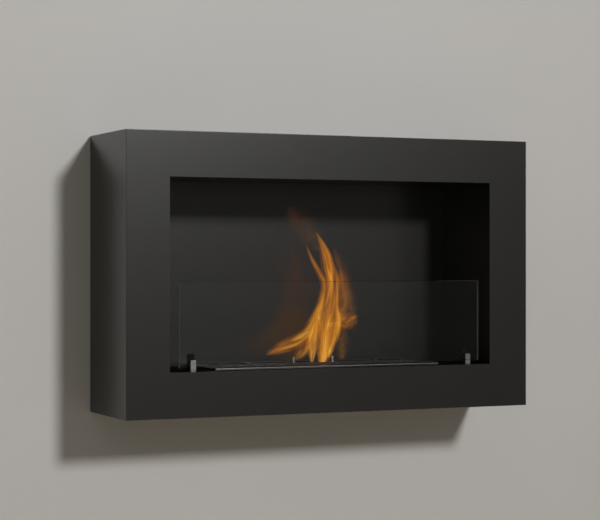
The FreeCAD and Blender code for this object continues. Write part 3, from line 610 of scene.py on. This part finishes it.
# Name, tongues, the lid that smothers it, how dense it is and how many streaks run across it
FLAME_PIECES = [
    ("flame_left", LEFT_TONGUES, "left_lid_slide", 0.44, 2.6),
    ("flame_body", BODY_TONGUES, "right_lid_slide", 0.56, 4.2),
    ("flame_core", CORE_TONGUES, "right_lid_slide", 0.60, 2.4),
    ("flame_curl", CURL_TONGUES, "right_lid_slide", 0.30, 2.4),
    ("flame_streak", STREAK_TONGUES, "right_lid_slide", 0.08, 1.0),
    ("flame_veil", VEIL_TONGUES, "right_lid_slide", 0.27, 1.1),
    ("flame_haze", HAZE_TONGUES, "right_lid_slide", 0.033, 1.0),
]
PER_METRE = 1000  # the tongues' points are in millimetres
FLAME_DRIFT = 0.0064  # the draught carries the flame to the right of the slot's middle
FLAME_STEPS = 64
FLAME_STRIPS = 14
FLAME_LEAVES = ((0.57, 0.82, 0.0), (-0.57, 0.82, 0.0))  # each tongue is two leaves, crossed like an X
FLAME_HEAT = [
    (0.00, (0.20, 0.045, 0.005)), (0.35, (0.44, 0.130, 0.011)), (0.60, (0.64, 0.225, 0.020)),
    (0.82, (0.80, 0.345, 0.042)), (1.00, (0.93, 0.49, 0.10)),
]
FLAME_GLOW = 1.0
FLAME_WAVES = 2.4  # how fast the streaks change along a tongue
FLAME_SHUFFLE = 7.3  # takes each tongue to another place in the pattern
FLAME_DETAIL = 3.0
FLAME_TWIST = 1.3
FLAME_ROOT = 0.08  # share of its length over which a tongue fades in
FLAME_TIP = 0.80  # where it starts to fade out
FLAME_STRANDS = (0.36, 0.62)  # thin and dense strands in the pattern
FLAME_THINNEST = 0.35  # cover of the thin strands
FLAME_HOT_STRANDS = (0.36, 0.64)  # cool and hot strands in the pattern
FLAME_COOLEST = 0.42  # heat of the cool strands
FLAME_RIM = 0.35  # heat at a tongue's edges
FLAME_COOLING = (1.12, 0.72)  # heat at the root and at the tip


def make_flame_material():
    material, tree, shader = new_material("Flame", {
        "Base Color": (0.0, 0.0, 0.0, 1.0), "Roughness": 1.0, "Specular IOR Level": 0.0,
        "Emission Strength": FLAME_GLOW,
    })

    def stored(label):
        return add_node(tree, "ShaderNodeAttribute", {}, attribute_name=label).outputs["Fac"]

    along = stored("along")
    across = stored("across")
    place = add_node(tree, "ShaderNodeCombineXYZ", {
        "X": maths(tree, "MULTIPLY", across, stored("streaks")),
        "Y": maths(tree, "MULTIPLY", along, FLAME_WAVES),
        "Z": maths(tree, "MULTIPLY", stored("tongue"), FLAME_SHUFFLE),
    })
    streak = add_node(tree, "ShaderNodeTexNoise", {
        "Vector": place.outputs["Vector"], "Scale": 1.0, "Detail": FLAME_DETAIL, "Distortion": FLAME_TWIST,
    }).outputs["Fac"]
    offset = maths(tree, "SUBTRACT", maths(tree, "MULTIPLY", across, 2.0), 1.0)
    middle = maths(tree, "SUBTRACT", 1.0, maths(tree, "MULTIPLY", offset, offset))
    rising = between(tree, along, 0.0, 1.0, 0.0, FLAME_ROOT)
    dying = between(tree, along, 1.0, 0.0, FLAME_TIP, 1.0)
    fade = maths(tree, "MULTIPLY", rising, dying)
    strands = between(tree, streak, FLAME_THINNEST, 1.0, *FLAME_STRANDS)
    body = maths(tree, "MULTIPLY", middle, strands)
    alpha = maths(tree, "MULTIPLY", maths(tree, "MULTIPLY", body, fade), stored("cover"))
    tree.links.new(alpha, shader.inputs["Alpha"])
    cooling = between(tree, along, *FLAME_COOLING, 0.0, 1.0)
    warmth = between(tree, streak, FLAME_COOLEST, 1.0, *FLAME_HOT_STRANDS)
    core = between(tree, middle, FLAME_RIM, 1.0, 0.0, 1.0)
    heat = maths(tree, "MULTIPLY", maths(tree, "MULTIPLY", warmth, core), cooling)
    tree.links.new(colours(tree, heat, FLAME_HEAT), shader.inputs["Emission Color"])
    return material


def flame_nodes(material):
    """Two crossed leaves along each path, as wide as the path's radius, with their own coordinates."""
    group, given, result = new_nodes("Flame tongues", [
        ("Steps", "NodeSocketInt"), ("Strips", "NodeSocketInt"), ("First leaf", "NodeSocketVector"),
        ("Second leaf", "NodeSocketVector"), ("Cover", "NodeSocketFloat"), ("Streaks", "NodeSocketFloat"),
    ])

    def add(kind, inputs, **settings):
        return add_node(group, kind, inputs, **settings)

    def store(geometry, label, value):
        inputs = {"Geometry": geometry, "Name": label, "Value": value}
        node = add("GeometryNodeStoreNamedAttribute", inputs, data_type="FLOAT", domain="POINT")
        return node.outputs["Geometry"]

    path = add("GeometryNodeResampleCurve", {
        "Curve": given.outputs["Geometry"], "Count": given.outputs["Steps"],
    })
    facing = add("GeometryNodeSetCurveNormal", {"Curve": path.outputs["Curve"]}, mode="FREE")
    facing.inputs["Normal"].default_value = (0.0, -1.0, 0.0)
    cross = add("GeometryNodeJoinGeometry", {})
    for leaf in ("First leaf", "Second leaf"):
        half = given.outputs[leaf]
        other = add("ShaderNodeVectorMath", {0: half, "Scale": -1.0}, operation="SCALE")
        line = add("GeometryNodeCurvePrimitiveLine", {"Start": other.outputs["Vector"], "End": half})
        group.links.new(line.outputs["Curve"], cross.inputs["Geometry"])
    profile = add("GeometryNodeResampleCurve", {
        "Curve": cross.outputs["Geometry"], "Count": given.outputs["Strips"],
    })
    share = add("GeometryNodeSplineParameter", {}).outputs["Factor"]
    number = add("GeometryNodeInputIndex", {}).outputs["Index"]
    tongue = add("GeometryNodeFieldOnDomain", {"Value": number}, domain="CURVE").outputs["Value"]
    marked = store(facing.outputs["Curve"], "along", share)
    marked = store(marked, "tongue", tongue)
    marked = store(marked, "cover", given.outputs["Cover"])
    marked = store(marked, "streaks", given.outputs["Streaks"])
    leaves = add("GeometryNodeCurveToMesh", {
        "Curve": marked, "Profile Curve": store(profile.outputs["Curve"], "across", share),
        "Scale": add("GeometryNodeInputRadius", {}).outputs["Radius"],
    })
    smooth = add("GeometryNodeSetShadeSmooth", {"Geometry": leaves.outputs["Mesh"]})
    real = add("GeometryNodeRealizeInstances", {"Geometry": smooth.outputs["Geometry"]})
    painted = add("GeometryNodeSetMaterial", {"Geometry": real.outputs["Geometry"], "Material": material})
    group.links.new(painted.outputs["Geometry"], result.inputs["Geometry"])
    return group


def flame_paths(name, tongues, base):
    """One curve object with a smooth path for each tongue, its radius giving the half width."""
    curve = bpy.data.curves.new(name + " paths", "CURVE")
    curve.dimensions = "3D"
    for tongue in tongues:
        spline = curve.splines.new("BEZIER")
        spline.bezier_points.add(len(tongue) - 1)
        for point, (x, y, z, half_width) in zip(spline.bezier_points, tongue):
            point.co = base + Vector((x, y, z)) / PER_METRE
            point.handle_left_type = "AUTO"
            point.handle_right_type = "AUTO"
            point.radius = half_width / PER_METRE
    return new_object(name + " paths", curve)


flame_material = make_flame_material()
flame_group = flame_nodes(flame_material)
flame_base = Vector((FLAME_DRIFT, wool_middle.y, wool_high[2]))
for flame_name, tongues, joint, cover, streaks in FLAME_PIECES:
    paths = flame_paths(flame_name, tongues, flame_base)
    flame = new_object(flame_name, run_nodes(paths, flame_group, {
        "Steps": FLAME_STEPS, "Strips": FLAME_STRIPS, "First leaf": FLAME_LEAVES[0],
        "Second leaf": FLAME_LEAVES[1], "Cover": cover, "Streaks": streaks,
    }))
    bpy.data.objects.remove(paths)
    flame.visible_shadow = False  # light casts none
    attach(flame, "burner")
    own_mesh(flame)


# Stage: a plain pale wall with an opening behind the fireplace, so that its back is lit too, and a plain
# floor well below. Each shows only from the room.

WALL_COLOURS = [(0.30, (0.600, 0.591, 0.576)), (0.70, (0.616, 0.607, 0.592))]
FLOOR_COLOURS = [(0.30, (0.66, 0.57, 0.43)), (0.70, (0.70, 0.61, 0.46))]
PAINT_ROUGHNESS = 0.9
PAINT_GLOSS = 0.2
PAINT_PATCHES = 3.0  # changes of colour per metre
WALL_HALF = 6.0  # half the width of the wall and of the floor
WALL_GAP = 0.0005  # behind the fireplace's back
WALL_OPENING = (0.396, 0.246)  # half its width and height, a little less than the casing's
FLOOR_Z = -1.3
CORNERS = ((-1, -1), (1, -1), (1, 1), (-1, 1))


def make_room_paint(name, stops):
    """Matt paint on one side of a surface, the other side being clear."""
    material, tree, shader = new_material(name, {
        "Roughness": PAINT_ROUGHNESS, "Specular IOR Level": PAINT_GLOSS,
    })
    tree.links.new(colours(tree, noise(tree, PAINT_PATCHES), stops), shader.inputs["Base Color"])
    behind = add_node(tree, "ShaderNodeNewGeometry", {}).outputs["Backfacing"]
    clear = add_node(tree, "ShaderNodeBsdfTransparent", {})
    mix = add_node(tree, "ShaderNodeMixShader", {0: behind})
    tree.links.new(shader.outputs["BSDF"], mix.inputs[1])
    tree.links.new(clear.outputs["BSDF"], mix.inputs[2])
    tree.links.new(mix.outputs["Shader"], tree.nodes["Material Output"].inputs["Surface"])
    return material


hole_x, hole_z = WALL_OPENING
wall_mesh = bpy.data.meshes.new("Wall")
wall_mesh.from_pydata(
    [(x * WALL_HALF, WALL_GAP, z * WALL_HALF) for x, z in CORNERS]
    + [(x * hole_x, WALL_GAP, z * hole_z) for x, z in CORNERS],
    [], [(n, (n + 1) % 4, (n + 1) % 4 + 4, n + 4) for n in range(4)],
)
wall = new_object("Wall", wall_mesh)
wall_mesh.materials.append(make_room_paint("Pale wall", WALL_COLOURS))
floor_mesh = bpy.data.meshes.new("Floor")
floor_mesh.from_pydata(
    [(x * WALL_HALF, y * WALL_HALF, FLOOR_Z) for x, y in CORNERS],
    [], [(0, 1, 2, 3)],
)
floor = new_object("Floor", floor_mesh)
floor_mesh.materials.append(make_room_paint("Pale floor", FLOOR_COLOURS))


# Light: one large soft lamp from the front, above and to the right, as the shadow on the wall shows,
# with a dim room round it that is a little brighter on the left.

KEY_PLACE = Vector((1.96, -7.89, 3.37))
KEY_SIZE = 1.18
KEY_POWER = 55.0
KEY_COLOUR = (1.0, 0.992, 0.985)
KEY_AIM = Vector((-0.25, 0.0, 0.90))  # brightest place on the wall
KEY_SPREAD = math.radians(64)
ROOM_LEFT = (0.255, 0.250, 0.240)
ROOM_MIDDLE = (0.170, 0.166, 0.159)
ROOM_RIGHT = (0.115, 0.113, 0.109)
ROOM_STOPS = (0.60, 0.82)  # where the middle and the right begin

lamp = bpy.data.lights.new("Key", "AREA")
lamp.shape = "DISK"
lamp.size = KEY_SIZE
lamp.energy = KEY_POWER
lamp.spread = KEY_SPREAD
lamp.color = KEY_COLOUR
key = new_object("Key", lamp)
key.location = KEY_PLACE
key.rotation_euler = (key.location - KEY_AIM).to_track_quat("Z", "Y").to_euler()

world = bpy.data.worlds.new("Room")
world.use_nodes = True
towards = add_node(world.node_tree, "ShaderNodeTexCoord", {}).outputs["Generated"]
sideways = add_node(world.node_tree, "ShaderNodeSeparateXYZ", {"Vector": towards}).outputs["X"]
room = colours(world.node_tree, between(world.node_tree, sideways, 0.0, 1.0, -1.0, 1.0), [
    (0.0, ROOM_LEFT), (ROOM_STOPS[0], ROOM_MIDDLE), (ROOM_STOPS[1], ROOM_RIGHT),
])
world.node_tree.links.new(room, world.node_tree.nodes["Background"].inputs["Color"])
bpy.context.scene.world = world


# Camera: level, left of the fireplace's middle and just above it.

CAMERA_PLACE = (-1.39675, -3.08446, 0.02531)
CAMERA_YAW = -0.430415
CAMERA_LENS = 106.51
CAMERA_SENSOR = 36.0

camera_data = bpy.data.cameras.new("Camera")
camera_data.lens = CAMERA_LENS
camera_data.sensor_width = CAMERA_SENSOR
camera = new_object("Camera", camera_data)
camera.location = CAMERA_PLACE
camera.rotation_euler = (math.pi / 2, 0.0, CAMERA_YAW)
bpy.context.scene.camera = camera
bpy.context.scene.view_settings.view_transform = "Standard"
